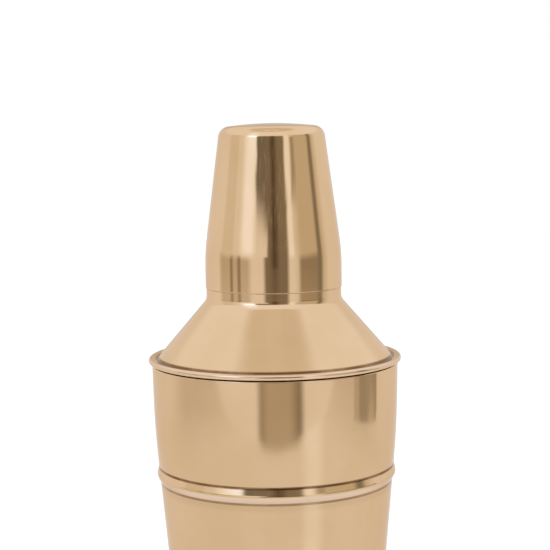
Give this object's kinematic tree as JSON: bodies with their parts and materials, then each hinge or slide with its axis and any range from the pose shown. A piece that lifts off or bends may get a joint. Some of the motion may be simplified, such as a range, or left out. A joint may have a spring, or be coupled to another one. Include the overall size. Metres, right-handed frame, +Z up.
{
  "type": "cocktail shaker",
  "caption": "Cobbler cocktail shaker in warm brass: tapered tumbler with a swaged ring, beaded conical strainer top and tall slip-on cap over the neck.",
  "frame": {"origin": "centre of the base, on the surface that the shaker stands on", "axes": "+Z up along the axis of the shaker; the pieces are round, so +X and +Y are any two level directions"},
  "size_m": [0.09, 0.09, 0.2348],
  "materials": {
    "tumbler_brass": "fine satin polish outside, duller inside",
    "top_brass": "fine satin polish outside, duller inside",
    "plate_brass": "satin",
    "cap_brass": "mirror polish outside, duller inside"
  },
  "bodies": {
    "tumbler": {"tumbler": "tumbler_brass"},
    "strainer_top": {"strainer_top": "top_brass", "strainer_plate": "plate_brass"},
    "cap": {"cap": "cap_brass"}
  },
  "joints": [
    {"name": "strainer_top_lift", "type": "slide", "parent": "tumbler", "child": "strainer_top", "axis": [0, 0, 1], "range_m": [0, 0.06]},
    {"name": "cap_lift", "type": "slide", "parent": "strainer_top", "child": "cap", "axis": [0, 0, 1], "range_m": [0, 0.06]}
  ]
}
